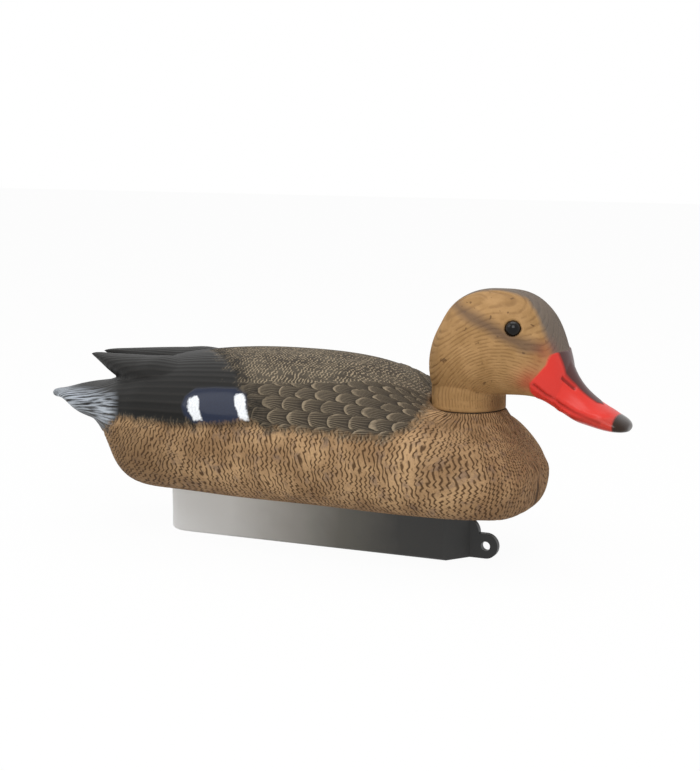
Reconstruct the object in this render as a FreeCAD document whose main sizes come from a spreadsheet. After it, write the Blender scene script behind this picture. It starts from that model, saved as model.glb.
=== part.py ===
"""Floating hen duck decoy: a blow-moulded float, a head that turns on its neck
and a ballasted keel screwed under the float.  Millimetres, +X towards the bill,
+Z up, origin on the ground in the middle of the overall length."""

import FreeCAD, Part
import Sketcher
import math
import os

V = FreeCAD.Vector
UP = V(0, 0, 1)

os.makedirs("parts", exist_ok=True)
doc = FreeCAD.newDocument("duck_decoy")

# ---------------------------------------------------------------- sizes
SIZES = (
    # float
    ("body_length", 353.0),  # breast to tail tip
    ("body_width", 158.0),
    ("body_height", 93.0),  # belly to the ridge of the back
    ("wall", 2.0),  # moulded skin of the float and the head
    # head, placed from the neck axis
    ("neck_setback", 46.5),  # breast to neck axis
    ("seam_drop", 28.0),  # ridge of the back down to the neck seam
    ("neck_radius", 23.2),
    ("head_reach", 103.5),  # neck axis to bill tip
    ("head_height", 75.5),  # neck seam to crown
    ("head_width", 62.0),
    ("eye_radius", 5.0),
    ("eye_sink", 2.2),  # centre of the eye bead below the skin
    ("eye_forward", 36.5),  # from the neck axis
    ("eye_height", 54.0),  # above the neck seam
    # swivel inside the neck
    ("turn_gap", 0.3),  # between the head and the float
    ("recess_gap", 0.6),  # round the neck where the back rises behind it
    ("running_gap", 0.1),  # between the plug and its socket
    ("seat_gap", 0.1),  # round pieces that are pressed or screwed home
    ("swivel_radius", 17.7),  # bore of the socket
    ("swivel_depth", 20.0),
    ("socket_wall", 2.4),
    ("socket_floor", 2.4),
    ("socket_flange", 1.5),
    ("flange_reach", 1.5),
    ("snap_height", 5.0),  # snap bead above the foot of the plug
    ("snap_rise", 0.5),
    ("snap_width", 1.6),
    ("plug_seat", 8.0),  # how far the plug goes up into the head
    ("plug_wall", 2.2),
    ("plug_lip", 1.8),  # width of the shoulder that stops the plug
    ("seal_thickness", 2.0),  # section of the sealing ring
    ("seal_level", 12.5),  # middle of the ring above the foot of the plug
    # keel
    ("keel_length", 214.0),
    ("keel_width", 36.0),
    ("keel_height", 31.0),
    ("keel_setback", 44.0),  # breast to the front of the keel
    ("keel_taper", 12.0),  # length of the pointed front
    ("keel_wall", 2.5),
    ("keel_edge", 2.0),  # rounding of the lower edge
    ("pad_height", 7.0),  # flat moulded seat that the keel is screwed to
    ("tab_thickness", 4.0),
    ("tab_reach", 10.5),  # keel front to the middle of the line hole
    ("tab_radius", 8.0),
    ("line_hole_radius", 3.0),
    ("gusset_radius", 9.5),
    # screws, ballast and filler plug
    ("screw_pitch", 72.0),
    ("screw_radius", 2.0),
    ("screw_head_radius", 4.0),
    ("screw_head_height", 2.6),
    ("screw_bite", 11.0),  # thread inside the float
    ("screw_seat", 10.0),  # keel left above the screw head
    ("well_gap", 0.6),
    ("well_wall", 2.0),
    ("boss_wall", 4.0),
    ("ballast_height", 15.0),
    ("ballast_gap", 0.2),
    ("filler_setback", 20.0),  # rear screw to the filler hole, clear of its post
    ("filler_radius", 5.0),
    ("filler_flange", 1.5),
    ("filler_sink", 0.3),
)

sheet = doc.addObject("Spreadsheet::Sheet", "sizes")
for row, (alias, value) in enumerate(SIZES, start=1):
    sheet.set("A%d" % row, alias)
    sheet.set("B%d" % row, str(value))
    sheet.setAlias("B%d" % row, alias)
doc.recompute()
size = {alias: float(sheet.get(alias)) for alias, _ in SIZES}

# Places that more than one piece shares, once for the shells made in code and
# once as expressions for the bound features.
breast_x = (size["body_length"] + size["neck_setback"] - size["head_reach"]) / 2
neck_x = breast_x - size["neck_setback"]
belly_z = size["keel_height"]
seam_z = belly_z + size["body_height"] - size["seam_drop"]
head_z = seam_z + size["turn_gap"]
keel_front_x = breast_x - size["keel_setback"]
keel_rear_x = keel_front_x - size["keel_length"]

BREAST_X = "(sizes.body_length + sizes.neck_setback - sizes.head_reach) / 2"
NECK_X = "(sizes.body_length - sizes.neck_setback - sizes.head_reach) / 2"
SEAM_Z = "(sizes.keel_height + sizes.body_height - sizes.seam_drop)"
HEAD_Z = "(%s + sizes.turn_gap)" % SEAM_Z
KEEL_FRONT = "(%s - sizes.keel_setback)" % BREAST_X
KEEL_REAR = "(%s - sizes.keel_length)" % KEEL_FRONT
KEEL_MIDDLE = "(%s - sizes.keel_length / 2)" % KEEL_FRONT
SCREW_COLUMNS = (
    "(%s - sizes.screw_pitch)" % KEEL_MIDDLE,
    KEEL_MIDDLE,
    "(%s + sizes.screw_pitch)" % KEEL_MIDDLE,
)
screw_columns = [
    keel_front_x - size["keel_length"] / 2 + step * size["screw_pitch"]
    for step in (-1, 0, 1)
]

# ---------------------------------------------------------------- helpers
RING_POINTS = 20


def signed_power(value, power):
    return math.copysign(abs(value) ** power, value)


def section(x, middle, half, low, wide, high, under, over):
    """A closed smooth section across X.  It is widest at the level `wide`; `under`
    and `over` say how square it is below and above that level (2 is an ellipse)."""
    points = []
    for step in range(RING_POINTS):
        angle = 2 * math.pi * step / RING_POINTS - math.pi / 2
        square = over if math.sin(angle) > 0 else under
        reach = high - wide if math.sin(angle) > 0 else wide - low
        y = middle + half * signed_power(math.cos(angle), 2 / square)
        z = wide + reach * signed_power(math.sin(angle), 2 / square)
        points.append(V(x, y, z))
    curve = Part.BSplineCurve()
    curve.interpolate(points, PeriodicFlag=True)
    return Part.Wire([curve.toShape()])


def loft(sections):
    return Part.makeLoft([section(*one) for one in sections], True, False)


def drum(radius, x, low, high):
    """An upright cylinder on the centre plane, from one level to another."""
    return Part.makeCylinder(radius, high - low, V(x, 0, low), UP)


def mirrored(shape):
    return shape.mirror(V(0, 0, 0), V(0, 1, 0))


def feature(label, shape):
    made = doc.addObject("Part::Feature", label)
    made.Label = label
    made.Shape = shape
    return made


def origin_part(body, role):
    return next(one for one in body.Origin.OriginFeatures if one.Role == role)


def new_body(label):
    body = doc.addObject("PartDesign::Body", label)
    body.Label = label
    return body


def new_sketch(body, name, role):
    sketch = body.newObject("Sketcher::SketchObject", name)
    sketch.AttachmentSupport = [(origin_part(body, role), "")]
    sketch.MapMode = "FlatFace"
    return sketch


def bind(sketch, constraint, expression):
    index = sketch.addConstraint(constraint)
    sketch.setExpression("Constraints[%d]" % index, expression)


def outline(body, name, role, corners):
    """A closed outline of straight edges, with each corner bound to two expressions.
    It is drawn as a regular polygon, which the constraints then pull into place."""
    sketch = new_sketch(body, name, role)
    count = len(corners)
    start = [
        V(10 * math.cos(2 * math.pi * k / count), 10 * math.sin(2 * math.pi * k / count), 0)
        for k in range(count)
    ]
    for k in range(count):
        sketch.addGeometry(Part.LineSegment(start[k], start[(k + 1) % count]))
    for k in range(count):
        after = (k + 1) % count
        sketch.addConstraint(Sketcher.Constraint("Coincident", k, 2, after, 1))
    for k, (across, along) in enumerate(corners):
        bind(sketch, Sketcher.Constraint("DistanceX", -1, 1, k, 1, start[k].x), across)
        bind(sketch, Sketcher.Constraint("DistanceY", -1, 1, k, 1, start[k].y), along)
    return sketch


def circles(body, name, role, centres, radius):
    """Circles of one radius about centres that are bound to expressions."""
    sketch = new_sketch(body, name, role)
    for k, (across, along) in enumerate(centres):
        spot = V(20.0 * (k + 1), 5.0, 0)
        sketch.addGeometry(Part.Circle(spot, UP, 3.0))
        bind(sketch, Sketcher.Constraint("DistanceX", -1, 1, k, 3, spot.x), across)
        bind(sketch, Sketcher.Constraint("DistanceY", -1, 1, k, 3, spot.y), along)
        bind(sketch, Sketcher.Constraint("Radius", k, 3.0), radius)
    return sketch


def extrude(body, kind, name, sketch, length, midplane=False, flip=False):
    made = body.newObject("PartDesign::" + kind, name)
    made.Profile = sketch
    made.Midplane = midplane
    made.Reversed = flip
    made.setExpression("Length", length)
    doc.recompute()
    return made


def turned(body, name, sketch):
    """A full turn about the sketch's own vertical axis."""
    made = body.newObject("PartDesign::Revolution", name)
    made.Profile = sketch
    made.ReferenceAxis = (sketch, ["V_Axis"])
    made.Angle = 360.0
    doc.recompute()
    return made


# ---------------------------------------------------------------- float body
# Stations from the breast to the tail tip.  Shares of the body's length, half its
# width and its height: place, half width, bottom, widest level, top; then how
# square the section is below and above its widest level.
HULL = (
    (0.000, 0.10, 0.165, 0.230, 0.290, 2.0, 2.0),
    (0.003, 0.26, 0.110, 0.235, 0.320, 2.2, 2.0),
    (0.012, 0.44, 0.050, 0.245, 0.365, 2.4, 2.0),
    (0.029, 0.59, 0.012, 0.250, 0.460, 2.7, 1.8),
    (0.051, 0.70, 0.000, 0.275, 0.585, 2.9, 1.7),
    (0.080, 0.79, 0.000, 0.310, 0.672, 3.0, 1.65),
    (0.110, 0.86, 0.000, 0.355, 0.700, 3.1, 1.65),
    (0.150, 0.915, 0.000, 0.400, 0.718, 3.1, 1.7),
    (0.190, 0.955, 0.000, 0.440, 0.748, 3.1, 1.8),
    (0.240, 0.978, 0.000, 0.475, 0.835, 3.1, 1.9),
    (0.300, 0.990, 0.000, 0.500, 0.932, 3.0, 2.0),
    (0.370, 1.000, 0.000, 0.510, 0.983, 2.9, 2.05),
    (0.460, 1.000, 0.000, 0.520, 1.000, 2.9, 2.1),
    (0.560, 0.975, 0.000, 0.530, 0.995, 2.9, 2.1),
    (0.650, 0.905, 0.000, 0.545, 0.965, 2.9, 2.1),
    (0.725, 0.820, 0.003, 0.560, 0.915, 3.1, 2.1),
    (0.770, 0.735, 0.034, 0.580, 0.865, 3.0, 2.1),
    (0.800, 0.640, 0.118, 0.595, 0.815, 2.6, 2.1),
    (0.828, 0.540, 0.248, 0.600, 0.770, 2.3, 2.1),
    (0.855, 0.465, 0.345, 0.600, 0.732, 2.0, 2.1),
    (0.890, 0.400, 0.420, 0.600, 0.694, 2.0, 2.1),
    (0.930, 0.320, 0.490, 0.595, 0.669, 2.0, 2.1),
    (0.970, 0.190, 0.553, 0.595, 0.628, 2.0, 2.0),
    (1.000, 0.050, 0.582, 0.595, 0.608, 2.0, 2.0),
)
HOLLOW_FROM = 2  # the hollow starts behind the blunt front stations
HOLLOW_TO = 19  # the tail is pinched solid

# The folded wing tip, over the root of the tail.  Shares as above, with the
# middle of the tip across the body after its place.
WING_TIP = (
    (0.640, 0.32, 0.30, 0.680, 0.820, 0.925),
    (0.700, 0.31, 0.30, 0.690, 0.830, 0.935),
    (0.745, 0.29, 0.275, 0.700, 0.840, 0.940),
    (0.787, 0.25, 0.225, 0.735, 0.860, 0.935),
    (0.830, 0.20, 0.160, 0.788, 0.880, 0.928),
    (0.865, 0.15, 0.095, 0.850, 0.895, 0.923),
    (0.890, 0.11, 0.040, 0.885, 0.903, 0.917),
    (0.899, 0.10, 0.015, 0.897, 0.904, 0.911),
)


def hull_station(row, inset):
    place, half, low, wide, high, under, over = row
    return (
        breast_x - place * size["body_length"] - (inset if place < HULL[4][0] else 0),
        0,
        half * size["body_width"] / 2 - inset,
        belly_z + low * size["body_height"] + inset,
        belly_z + wide * size["body_height"],
        belly_z + high * size["body_height"] - inset,
        under,
        over,
    )


def wing_station(row):
    place, middle, half, low, wide, high = row
    return (
        breast_x - place * size["body_length"],
        middle * size["body_width"] / 2,
        half * size["body_width"] / 2,
        belly_z + low * size["body_height"],
        belly_z + wide * size["body_height"],
        belly_z + high * size["body_height"],
        2.0,
        2.0,
    )


COLLAR_FLARE = 6.5  # how much the collar widens on its way down
COLLAR_DEPTH = 10.0
socket_radius = size["swivel_radius"] + size["socket_wall"]


def keel_seat(low, high):
    """A block over the keel's top face, a little short of its round and pointed ends."""
    return Part.makeBox(
        size["keel_length"] - size["keel_width"] / 2,
        size["keel_width"],
        high - low,
        V(keel_rear_x + size["keel_width"] / 4, -size["keel_width"] / 2, low),
    )


def float_skin():
    """The outside of the float as one closed solid, flat where the keel is screwed on."""
    wing = loft([wing_station(row) for row in WING_TIP])
    collar = Part.makeCone(
        size["neck_radius"] + COLLAR_FLARE,
        size["neck_radius"],
        COLLAR_DEPTH,
        V(neck_x, 0, seam_z - COLLAR_DEPTH),
        UP,
    )
    hull = loft([hull_station(row, 0) for row in HULL])
    skin = hull.fuse([wing, mirrored(wing), collar, keel_seat(belly_z, belly_z + size["pad_height"])])
    recess = drum(
        size["neck_radius"] + size["recess_gap"], neck_x, seam_z, seam_z + size["seam_drop"] * 2
    )
    under = Part.makeBox(
        size["body_length"],
        size["body_width"],
        size["wall"],
        V(breast_x - size["body_length"], -size["body_width"] / 2, belly_z - size["wall"]),
    )
    return skin.cut([recess, under])


def float_shape():
    skin = float_skin()
    hollow = loft([hull_station(row, size["wall"]) for row in HULL[HOLLOW_FROM:HOLLOW_TO]])
    collar_ring = drum(size["neck_radius"] + 1, neck_x, seam_z - COLLAR_DEPTH, seam_z)
    seat = keel_seat(belly_z, belly_z + 2 * size["wall"])
    bosses = [
        drum(
            size["screw_radius"] + size["boss_wall"],
            x,
            belly_z,
            belly_z + size["screw_bite"] + size["boss_wall"],
        )
        for x in screw_columns
    ]
    shell = skin.cut(hollow.cut([collar_ring, seat] + bosses))
    cuts = [
        drum(socket_radius + size["seat_gap"], neck_x, seam_z - 2 * COLLAR_DEPTH, seam_z + 1),
        drum(
            socket_radius + size["flange_reach"] + size["seat_gap"],
            neck_x,
            seam_z - size["socket_flange"],
            seam_z + 1,
        ),
    ]
    for x in screw_columns:
        bore = size["screw_radius"] + size["seat_gap"] / 2
        cuts.append(drum(bore, x, belly_z - 1, belly_z + size["screw_bite"] + 1))
    return shell.cut(cuts)


float_body = feature("float_body", float_shape())

# ---------------------------------------------------------------- head shell
# Stations of the head from its back to the base of the bill, and of the bill from
# inside the head to its tip.  Shares of the reach from the neck axis, half the head's
# width and its height above the seam.
HEAD = (
    (-0.222, 0.24, 0.240, 0.340, 0.440, 2.0, 2.0),
    (-0.209, 0.43, 0.160, 0.360, 0.540, 2.0, 2.0),
    (-0.181, 0.61, 0.095, 0.400, 0.655, 2.0, 2.0),
    (-0.134, 0.78, 0.060, 0.440, 0.770, 2.0, 2.0),
    (-0.072, 0.91, 0.050, 0.480, 0.885, 2.0, 2.0),
    (0.005, 0.970, 0.065, 0.500, 0.953, 2.1, 2.0),
    (0.101, 1.000, 0.100, 0.510, 0.992, 2.2, 2.05),
    (0.198, 1.000, 0.130, 0.510, 1.000, 2.3, 2.05),
    (0.295, 0.985, 0.140, 0.505, 0.997, 2.3, 2.05),
    (0.372, 0.950, 0.142, 0.490, 0.974, 2.3, 2.05),
    (0.450, 0.880, 0.130, 0.460, 0.915, 2.2, 2.0),
    (0.527, 0.750, 0.086, 0.400, 0.802, 2.1, 2.0),
    (0.575, 0.620, 0.045, 0.340, 0.664, 2.0, 2.0),
    (0.604, 0.500, 0.038, 0.290, 0.553, 2.0, 2.0),
    (0.628, 0.360, 0.052, 0.240, 0.440, 2.0, 2.0),
)
BILL = (
    (0.470, 0.42, 0.135, 0.320, 0.590, 2.0, 2.0),
    (0.562, 0.49, 0.052, 0.235, 0.560, 2.0, 1.9),
    (0.611, 0.475, 0.008, 0.160, 0.494, 2.0, 1.8),
    (0.651, 0.455, -0.022, 0.100, 0.368, 2.0, 1.8),
    (0.700, 0.445, -0.051, 0.046, 0.258, 2.0, 1.9),
    (0.768, 0.455, -0.073, 0.005, 0.164, 2.0, 2.0),
    (0.845, 0.480, -0.094, -0.030, 0.090, 2.0, 2.1),
    (0.913, 0.485, -0.103, -0.052, 0.038, 2.1, 2.2),
    (0.961, 0.430, -0.104, -0.064, 0.002, 2.1, 2.2),
    (0.990, 0.300, -0.100, -0.070, -0.028, 2.0, 2.0),
    (1.000, 0.130, -0.090, -0.072, -0.052, 2.0, 2.0),
)
BILL_HOLLOW_TO = 7  # the front of the bill is pinched solid


def head_station(row, inset):
    place, half, low, wide, high, under, over = row
    return (
        neck_x + place * size["head_reach"],
        0,
        half * size["head_width"] / 2 - inset,
        seam_z + low * size["head_height"] + inset,
        seam_z + wide * size["head_height"],
        seam_z + high * size["head_height"] - inset,
        under,
        over,
    )


NECK_TOP = 0.36  # share of the head's height at which the neck ends inside the head
neck_top_z = seam_z + NECK_TOP * size["head_height"]
plug_radius = size["neck_radius"] - size["wall"]


def head_skin():
    ball = loft([head_station(row, 0) for row in HEAD])
    bill = loft([head_station(row, 0) for row in BILL])
    neck = drum(size["neck_radius"], neck_x, head_z, neck_top_z)
    return ball.fuse([neck, bill])


def eye_centre(skin):
    """The middle of the left eye bead, a little below the skin."""
    x = neck_x + size["eye_forward"]
    z = seam_z + size["eye_height"]
    probe = Part.makeLine(V(x, 0, z), V(x, size["head_width"], z))
    inside = skin.common(probe)
    return V(x, inside.BoundBox.YMax - size["eye_sink"], z)


def head_shape(skin, left_eye):
    wall = size["wall"]
    hollow = loft([head_station(row, wall) for row in HEAD[1:-1]])
    bill_hollow = loft([head_station(row, wall) for row in BILL[1:BILL_HOLLOW_TO]])
    narrow = plug_radius - size["plug_lip"]
    seat_z = head_z + size["plug_seat"]
    throat = drum(narrow, neck_x, seat_z, neck_top_z)
    bore = drum(plug_radius, neck_x, head_z - 1, seat_z)
    # The hollow above the plug's seat keeps the neck's full wall.
    guard = drum(size["neck_radius"], neck_x, head_z, neck_top_z).cut(
        drum(narrow, neck_x, head_z, neck_top_z)
    )
    guard = guard.common(drum(size["neck_radius"], neck_x, head_z, seat_z + wall))
    bead = size["eye_radius"] + size["seat_gap"]
    right_eye = V(left_eye.x, -left_eye.y, left_eye.z)
    cups = [Part.makeSphere(bead + wall, centre) for centre in (left_eye, right_eye)]
    hollow = hollow.fuse([bill_hollow, throat]).cut([guard] + cups)
    shell = skin.cut(hollow)
    return shell.cut([bore] + [Part.makeSphere(bead, centre) for centre in (left_eye, right_eye)])


head_outside = head_skin()
left_eye_centre = eye_centre(head_outside)
head_shell = feature("head_shell", head_shape(head_outside, left_eye_centre))

# ---------------------------------------------------------------- eyes
eyes = []
for label, side in (("left_eye", 1), ("right_eye", -1)):
    eye = doc.addObject("Part::Sphere", label)
    eye.Label = label
    eye.setExpression("Radius", "sizes.eye_radius")
    eye.Placement.Base = V(left_eye_centre.x, side * left_eye_centre.y, left_eye_centre.z)
    eyes.append(eye)

# ---------------------------------------------------------------- swivel
# The socket closes the float's neck opening and is welded in.  The plug is pressed
# into the head, snaps into the socket and turns there with its sealing ring.
FOOT_Z = "(%s - sizes.swivel_depth)" % HEAD_Z
SOCKET_FLOOR = "(%s - sizes.swivel_depth - sizes.turn_gap)" % SEAM_Z
SOCKET_OUT = "(sizes.swivel_radius + sizes.socket_wall)"
SNAP_Z = "(%s + sizes.snap_height)" % FOOT_Z
SNAP_HALF = "sizes.snap_width / 2"
GROOVE = "(sizes.swivel_radius + sizes.snap_rise + sizes.turn_gap)"

neck_socket = new_body("neck_socket")
socket_profile = outline(
    neck_socket,
    "socket_profile",
    "XZ_Plane",
    (
        ("0", "%s - sizes.socket_floor" % SOCKET_FLOOR),
        (SOCKET_OUT, "%s - sizes.socket_floor" % SOCKET_FLOOR),
        (SOCKET_OUT, "%s - sizes.socket_flange" % SEAM_Z),
        ("%s + sizes.flange_reach" % SOCKET_OUT, "%s - sizes.socket_flange" % SEAM_Z),
        ("%s + sizes.flange_reach" % SOCKET_OUT, SEAM_Z),
        ("sizes.swivel_radius", SEAM_Z),
        ("sizes.swivel_radius", "%s + %s + sizes.turn_gap * 2" % (SNAP_Z, SNAP_HALF)),
        (GROOVE, "%s + %s + sizes.turn_gap" % (SNAP_Z, SNAP_HALF)),
        (GROOVE, "%s - %s - sizes.turn_gap" % (SNAP_Z, SNAP_HALF)),
        ("sizes.swivel_radius", "%s - %s - sizes.turn_gap * 2" % (SNAP_Z, SNAP_HALF)),
        ("sizes.swivel_radius", SOCKET_FLOOR),
        ("0", SOCKET_FLOOR),
    ),
)
turned(neck_socket, "socket_turn", socket_profile)
neck_socket.setExpression("Placement.Base.x", NECK_X)

PLUG_OUT = "(sizes.swivel_radius - sizes.running_gap)"
PLUG_HEAD = "(sizes.neck_radius - sizes.wall - sizes.seat_gap)"
PLUG_TOP = "(%s + sizes.plug_seat)" % HEAD_Z
SEAL_Z = "(%s + sizes.seal_level)" % FOOT_Z
SEAL_HALF = "(sizes.seal_thickness / 2 + sizes.running_gap)"
SEAL_FLOOR = "(%s - sizes.seal_thickness - sizes.running_gap)" % PLUG_OUT
PLUG_IN = "(%s - sizes.plug_wall)" % SEAL_FLOOR

neck_plug = new_body("neck_plug")
plug_profile = outline(
    neck_plug,
    "plug_profile",
    "XZ_Plane",
    (
        ("0", FOOT_Z),
        (PLUG_OUT, FOOT_Z),
        (PLUG_OUT, "%s - %s" % (SNAP_Z, SNAP_HALF)),
        ("sizes.swivel_radius + sizes.snap_rise", SNAP_Z),
        (PLUG_OUT, "%s + %s" % (SNAP_Z, SNAP_HALF)),
        (PLUG_OUT, "%s - %s" % (SEAL_Z, SEAL_HALF)),
        (SEAL_FLOOR, "%s - %s" % (SEAL_Z, SEAL_HALF)),
        (SEAL_FLOOR, "%s + %s" % (SEAL_Z, SEAL_HALF)),
        (PLUG_OUT, "%s + %s" % (SEAL_Z, SEAL_HALF)),
        (PLUG_OUT, HEAD_Z),
        (PLUG_HEAD, HEAD_Z),
        (PLUG_HEAD, PLUG_TOP),
        (PLUG_IN, PLUG_TOP),
        (PLUG_IN, "%s + sizes.plug_wall" % FOOT_Z),
        ("0", "%s + sizes.plug_wall" % FOOT_Z),
    ),
)
turned(neck_plug, "plug_turn", plug_profile)
neck_plug.setExpression("Placement.Base.x", NECK_X)

neck_seal_ring = doc.addObject("Part::Torus", "neck_seal_ring")
neck_seal_ring.Label = "neck_seal_ring"
neck_seal_ring.setExpression("Radius2", "sizes.seal_thickness / 2")
neck_seal_ring.setExpression("Radius1", "%s - sizes.seal_thickness / 2" % PLUG_OUT)
neck_seal_ring.setExpression("Placement.Base.x", NECK_X)
neck_seal_ring.setExpression("Placement.Base.z", SEAL_Z)

# ---------------------------------------------------------------- keel shell
HALF_KEEL = "(sizes.keel_width / 2)"
HALF_TAB = "(sizes.tab_thickness / 2)"
TAPER_X = "(%s - sizes.keel_taper)" % KEEL_FRONT
ROUND_X = "(%s + sizes.keel_width / 2)" % KEEL_REAR
ROOM_X = "(%s - sizes.keel_wall)" % TAPER_X
HOLE_X = "(%s + sizes.tab_reach)" % KEEL_FRONT

keel_shell = new_body("keel_shell")
plan = outline(
    keel_shell,
    "plan",
    "XY_Plane",
    (
        (ROUND_X, "-%s" % HALF_KEEL),
        (TAPER_X, "-%s" % HALF_KEEL),
        (KEEL_FRONT, "-%s" % HALF_TAB),
        (KEEL_FRONT, HALF_TAB),
        (TAPER_X, HALF_KEEL),
        (ROUND_X, HALF_KEEL),
    ),
)
extrude(keel_shell, "Pad", "keel_block", plan, "sizes.keel_height")
rear = circles(keel_shell, "rear_round", "XY_Plane", ((ROUND_X, "0"),), HALF_KEEL)
block = extrude(keel_shell, "Pad", "keel_rear", rear, "sizes.keel_height")

taper_x = keel_front_x - size["keel_taper"]
lower = [
    "Edge%d" % (k + 1)
    for k, one in enumerate(block.Shape.Edges)
    if one.BoundBox.ZMax < size["keel_edge"] and one.BoundBox.XMax < taper_x + size["keel_edge"]
]
edge = keel_shell.newObject("PartDesign::Fillet", "lower_edge")
edge.Base = (block, lower)
edge.setExpression("Radius", "sizes.keel_edge")
doc.recompute()

inside = outline(
    keel_shell,
    "inside",
    "XZ_Plane",
    (
        (ROUND_X, "sizes.keel_wall"),
        (ROOM_X, "sizes.keel_wall"),
        (ROOM_X, "sizes.keel_height - sizes.keel_wall"),
        (ROUND_X, "sizes.keel_height - sizes.keel_wall"),
    ),
)
extrude(
    keel_shell, "Pocket", "ballast_room", inside, "sizes.keel_width - 2 * sizes.keel_wall", True
)

tab = outline(
    keel_shell,
    "tab",
    "XZ_Plane",
    (
        ("%s - sizes.tab_reach" % KEEL_FRONT, "0"),
        (HOLE_X, "0"),
        (HOLE_X, "2 * sizes.tab_radius"),
        ("%s - sizes.tab_reach" % KEEL_FRONT, "2 * sizes.tab_radius"),
    ),
)
extrude(keel_shell, "Pad", "tab_plate", tab, "sizes.tab_thickness", True)
tab_end = circles(
    keel_shell, "tab_end", "XZ_Plane", ((HOLE_X, "sizes.tab_radius"),), "sizes.tab_radius"
)
extrude(keel_shell, "Pad", "tab_nose", tab_end, "sizes.tab_thickness", True)
gusset = circles(
    keel_shell,
    "gusset",
    "XZ_Plane",
    (("%s - sizes.tab_reach / 3" % KEEL_FRONT, "2 * sizes.tab_radius"),),
    "sizes.gusset_radius",
)
extrude(keel_shell, "Pad", "tab_gusset", gusset, "sizes.tab_thickness", True)
line_hole = circles(
    keel_shell, "line_hole", "XZ_Plane", ((HOLE_X, "sizes.tab_radius"),), "sizes.line_hole_radius"
)
extrude(keel_shell, "Pocket", "line_way", line_hole, "2 * sizes.tab_thickness", True)

WELL = "(sizes.screw_head_radius + sizes.well_gap)"
on_screws = [(x, "0") for x in SCREW_COLUMNS]
posts = circles(keel_shell, "posts", "XY_Plane", on_screws, "%s + sizes.well_wall" % WELL)
extrude(keel_shell, "Pad", "screw_posts", posts, "sizes.keel_height")
wells = circles(keel_shell, "wells", "XY_Plane", on_screws, WELL)
extrude(
    keel_shell, "Pocket", "screw_wells", wells, "sizes.keel_height - sizes.screw_seat", flip=True
)
shanks = circles(
    keel_shell, "shanks", "XY_Plane", on_screws, "sizes.screw_radius + sizes.seat_gap"
)
extrude(keel_shell, "Pocket", "shank_ways", shanks, "sizes.keel_height", flip=True)

FILLER_X = "(%s + sizes.filler_setback)" % SCREW_COLUMNS[0]
flange_way = circles(
    keel_shell,
    "flange_way",
    "XY_Plane",
    ((FILLER_X, "0"),),
    "sizes.filler_radius + sizes.filler_flange",
)
extrude(keel_shell, "Pocket", "flange_seat", flange_way, "sizes.keel_wall / 2", flip=True)
filler_way = circles(
    keel_shell, "filler_way", "XY_Plane", ((FILLER_X, "0"),), "sizes.filler_radius"
)
extrude(keel_shell, "Pocket", "filler_hole", filler_way, "sizes.keel_wall", flip=True)

# ---------------------------------------------------------------- filler plug
PLUG_FLANGE = "(sizes.filler_radius + sizes.filler_flange - sizes.seat_gap)"
PLUG_STEM = "(sizes.filler_radius - sizes.seat_gap)"
keel_filler_plug = new_body("keel_filler_plug")
filler_profile = outline(
    keel_filler_plug,
    "filler_profile",
    "XZ_Plane",
    (
        ("0", "sizes.filler_sink"),
        (PLUG_FLANGE, "sizes.filler_sink"),
        (PLUG_FLANGE, "sizes.keel_wall / 2"),
        (PLUG_STEM, "sizes.keel_wall / 2"),
        (PLUG_STEM, "sizes.keel_wall + sizes.filler_sink * 2"),
        ("0", "sizes.keel_wall + sizes.filler_sink * 2"),
    ),
)
turned(keel_filler_plug, "filler_turn", filler_profile)
keel_filler_plug.setExpression("Placement.Base.x", FILLER_X)

# ---------------------------------------------------------------- ballast
# Sand lies on the keel's floor, round the screw posts and the filler plug.
sand_block = doc.addObject("Part::Box", "sand_block")
sand_block.setExpression("Length", "%s - %s - 2 * sizes.ballast_gap" % (ROOM_X, ROUND_X))
sand_block.setExpression("Width", "sizes.keel_width - 2 * (sizes.keel_wall + sizes.ballast_gap)")
sand_block.setExpression("Height", "sizes.ballast_height")
sand_block.setExpression("Placement.Base.x", "%s + sizes.ballast_gap" % ROUND_X)
sand_block.setExpression(
    "Placement.Base.y", "-%s + sizes.keel_wall + sizes.ballast_gap" % HALF_KEEL
)
sand_block.setExpression("Placement.Base.z", "sizes.keel_wall")


def upright(name, radius, height, x, low):
    made = doc.addObject("Part::Cylinder", name)
    made.setExpression("Radius", radius)
    made.setExpression("Height", height)
    made.setExpression("Placement.Base.x", x)
    made.setExpression("Placement.Base.z", low)
    return made


sand_gaps = doc.addObject("Part::MultiFuse", "sand_gaps")
sand_gaps.Shapes = [
    upright(
        "sand_gap_%d" % k,
        "%s + sizes.well_wall + sizes.ballast_gap" % WELL,
        "sizes.keel_height",
        x,
        "0",
    )
    for k, x in enumerate(SCREW_COLUMNS)
] + [
    upright(
        "sand_gap_filler",
        "sizes.filler_radius + sizes.ballast_gap",
        "sizes.keel_wall + sizes.filler_sink * 3",
        FILLER_X,
        "0",
    )
]
keel_ballast = doc.addObject("Part::Cut", "keel_ballast")
keel_ballast.Label = "keel_ballast"
keel_ballast.Base = sand_block
keel_ballast.Tool = sand_gaps

# ---------------------------------------------------------------- keel screws
SCREW_SEAT = "(sizes.keel_height - sizes.screw_seat)"
screws = []
for k, x in enumerate(SCREW_COLUMNS):
    one = doc.addObject("Part::MultiFuse", "keel_screw_%d" % k)
    one.Shapes = [
        upright(
            "screw_shank_%d" % k,
            "sizes.screw_radius",
            "sizes.screw_seat + sizes.screw_bite",
            x,
            SCREW_SEAT,
        ),
        upright(
            "screw_head_%d" % k,
            "sizes.screw_head_radius",
            "sizes.screw_head_height",
            x,
            "%s - sizes.screw_head_height" % SCREW_SEAT,
        ),
    ]
    screws.append(one)
keel_screws = doc.addObject("Part::Compound", "keel_screws")
keel_screws.Label = "keel_screws"
keel_screws.Links = screws

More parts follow.
